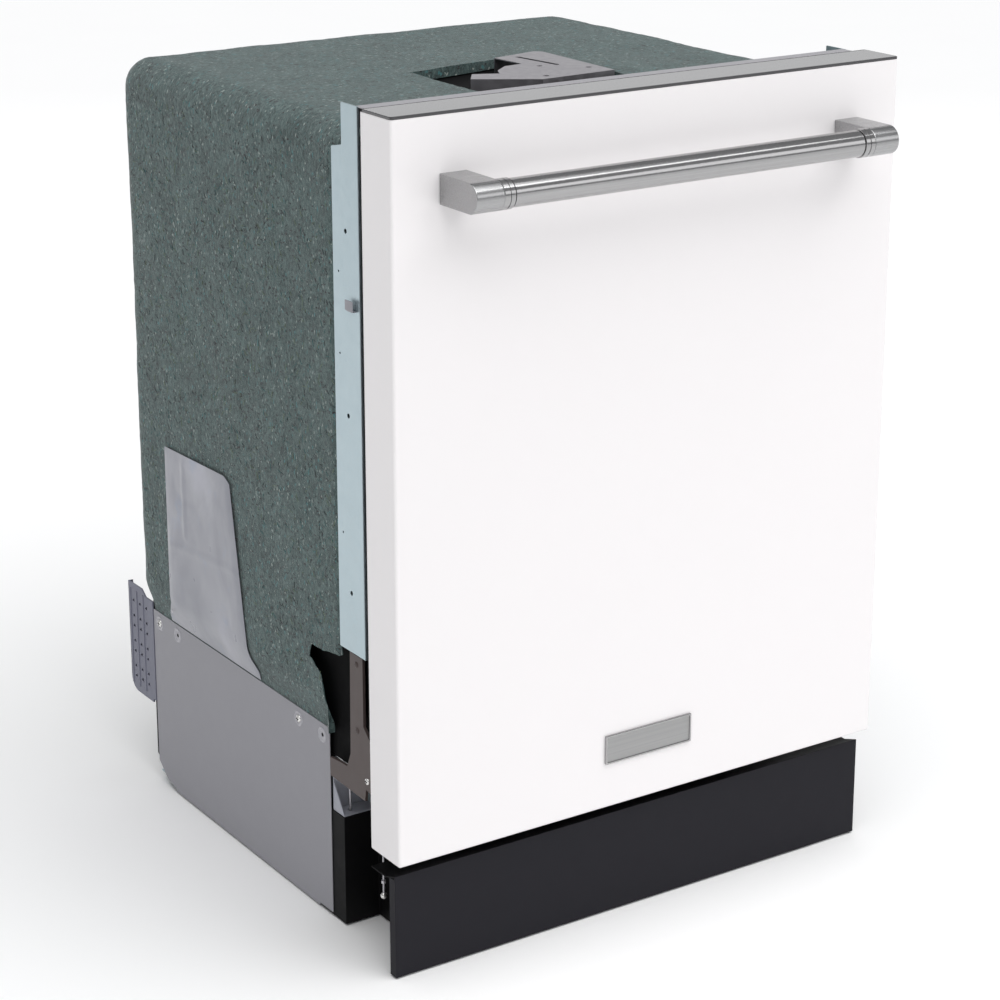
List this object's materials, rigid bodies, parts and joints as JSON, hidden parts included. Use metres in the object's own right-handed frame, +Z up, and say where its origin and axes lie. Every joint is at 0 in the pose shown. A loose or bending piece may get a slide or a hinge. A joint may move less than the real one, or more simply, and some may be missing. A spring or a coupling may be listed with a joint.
{
  "type": "built-in dishwasher",
  "caption": "Built-in dishwasher with felt-wrapped tub, drop-down door with bar handle, sliding racks, spray arms, slatted base panels and toe kick",
  "frame": {"origin": "on the floor, under the middle of the bounding box", "axes": "+Z up, +Y towards the back, the door faces -Y, +X to the viewer's right"},
  "size_m": [0.598, 0.685, 0.864],
  "materials": {
    "door_paint": "satin",
    "stainless": "brushed",
    "handle_steel": "brushed",
    "galvanised": "satin",
    "grey_paint": "satin",
    "bronze_steel": "satin",
    "dark_steel": "satin",
    "zinc": "satin",
    "black_plastic": "matte",
    "kick_paint": "satin",
    "grey_plastic": "matte",
    "gloss_black": "gloss",
    "white_plastic": "matte",
    "clear_film": "gloss",
    "felt": "felted",
    "rubber": "matte",
    "nylon_wire": "satin",
    "circuit": "matte",
    "motor": "satin"
  },
  "bodies": {
    "cabinet": {"tub_wrap": "stainless", "tub_back": "stainless", "tub_floor": "stainless", "tub_collar": "dark_steel", "head_rail": "galvanised", "side_strips": "galvanised", "door_gasket": "rubber", "insulation_blanket": "felt", "breather_cover": "clear_film", "top_bracket": "zinc", "base_frame": "black_plastic", "drip_pan": "grey_plastic", "side_panels": "grey_paint", "panel_screws": "zinc", "vent_spacers": "grey_plastic", "toe_kick": "kick_paint", "corner_brackets": "galvanised", "hinge_brackets": "bronze_steel", "hinge_pins": "zinc", "door_springs": "zinc", "door_strike": "zinc", "sump": "grey_plastic", "filter": "grey_plastic", "wash_pump": "motor", "drain_pump": "motor", "heater": "stainless", "inlet_valve": "white_plastic", "drain_outlet": "black_plastic", "rack_rails": "stainless", "feed_pipe": "grey_plastic"},
    "door": {"door_outer_panel": "door_paint", "door_inner_liner": "stainless", "control_strip": "gloss_black", "control_board": "circuit", "latch_body": "black_plastic", "dispenser_body": "white_plastic", "handle_posts": "handle_steel", "handle_tube": "handle_steel", "badge_plate": "handle_steel", "hinge_arms": "zinc"},
    "dispenser_lid": {"dispenser_lid": "white_plastic"},
    "rinse_cap": {"rinse_aid_cap": "white_plastic"},
    "latch_pawl": {"latch_pawl": "zinc"},
    "lower_rack": {"lower_rack": "nylon_wire", "cutlery_basket": "grey_plastic"},
    "front_wheels": {"rack_wheels_front": "grey_plastic"},
    "rear_wheels": {"rack_wheels_rear": "grey_plastic"},
    "upper_rack": {"upper_rack": "nylon_wire", "upper_slides": "zinc", "upper_feed_tube": "grey_plastic"},
    "third_rack": {"third_rack": "nylon_wire", "third_slides": "zinc"},
    "lower_arm": {"lower_spray_arm": "grey_plastic"},
    "upper_arm": {"upper_spray_arm": "grey_plastic"},
    "top_arm": {"top_spray_arm": "grey_plastic"},
    "float": {"float": "white_plastic"},
    "foot_front_left": {"foot_front_left": "black_plastic"},
    "foot_front_right": {"foot_front_right": "black_plastic"},
    "foot_rear_left": {"foot_rear_left": "black_plastic"},
    "foot_rear_right": {"foot_rear_right": "black_plastic"}
  },
  "joints": [
    {"name": "door_hinge", "type": "hinge", "parent": "cabinet", "child": "door", "pos_m": [0, -0.2395, 0.162], "axis": [1, 0, 0], "range_deg": [0, 90]},
    {"name": "lower_rack_slide", "type": "slide", "parent": "cabinet", "child": "lower_rack", "axis": [0, -1, 0], "range_m": [0, 0.1497]},
    {"name": "upper_rack_slide", "type": "slide", "parent": "cabinet", "child": "upper_rack", "axis": [0, -1, 0], "range_m": [0, 0.4011]},
    {"name": "third_rack_slide", "type": "slide", "parent": "cabinet", "child": "third_rack", "axis": [0, -1, 0], "range_m": [0, 0.4011]},
    {"name": "front_wheel_spin", "type": "hinge", "parent": "lower_rack", "child": "front_wheels", "pos_m": [0, -0.1145, 0.2023], "axis": [1, 0, 0], "continuous": true},
    {"name": "rear_wheel_spin", "type": "hinge", "parent": "lower_rack", "child": "rear_wheels", "pos_m": [0, 0.2005, 0.2023], "axis": [1, 0, 0], "continuous": true},
    {"name": "lower_arm_spin", "type": "hinge", "parent": "cabinet", "child": "lower_arm", "pos_m": [0, 0.0305, 0.196], "axis": [0, 0, 1], "continuous": true},
    {"name": "upper_arm_spin", "type": "hinge", "parent": "upper_rack", "child": "upper_arm", "pos_m": [0, 0.0305, 0.493], "axis": [0, 0, 1], "continuous": true},
    {"name": "top_arm_spin", "type": "hinge", "parent": "cabinet", "child": "top_arm", "pos_m": [0, 0.0305, 0.798], "axis": [0, 0, 1], "continuous": true},
    {"name": "dispenser_lid_slide", "type": "slide", "parent": "door", "child": "dispenser_lid", "axis": [0, 0, -1], "range_m": [0, 0.095]},
    {"name": "rinse_cap_turn", "type": "hinge", "parent": "door", "child": "rinse_cap", "pos_m": [0.048, -0.2195, 0.545], "axis": [0, 1, 0], "range_deg": [0, 90]},
    {"name": "latch_pawl_lift", "type": "hinge", "parent": "door", "child": "latch_pawl", "pos_m": [0, -0.2395, 0.8448], "axis": [1, 0, 0], "range_deg": [0, 12], "stiffness_Nm_per_rad": 0.5, "springref_deg": -5.73},
    {"name": "float_lift", "type": "slide", "parent": "cabinet", "child": "float", "axis": [0, 0, 1], "range_m": [0, 0.01]},
    {"name": "foot_front_left_adjust", "type": "slide", "parent": "cabinet", "child": "foot_front_left", "axis": [0, 0, -1], "range_m": [0, 0.025]},
    {"name": "foot_front_right_adjust", "type": "slide", "parent": "cabinet", "child": "foot_front_right", "axis": [0, 0, -1], "range_m": [0, 0.025]},
    {"name": "foot_rear_left_adjust", "type": "slide", "parent": "cabinet", "child": "foot_rear_left", "axis": [0, 0, -1], "range_m": [0, 0.025]},
    {"name": "foot_rear_right_adjust", "type": "slide", "parent": "cabinet", "child": "foot_rear_right", "axis": [0, 0, -1], "range_m": [0, 0.025]}
  ],
  "couplings": [
    {"joint": "lower_rack_slide", "follows": "door_hinge", "m_per_rad": 0.095},
    {"joint": "upper_rack_slide", "follows": "door_hinge", "m_per_rad": 0.255},
    {"joint": "third_rack_slide", "follows": "door_hinge", "m_per_rad": 0.255}
  ]
}
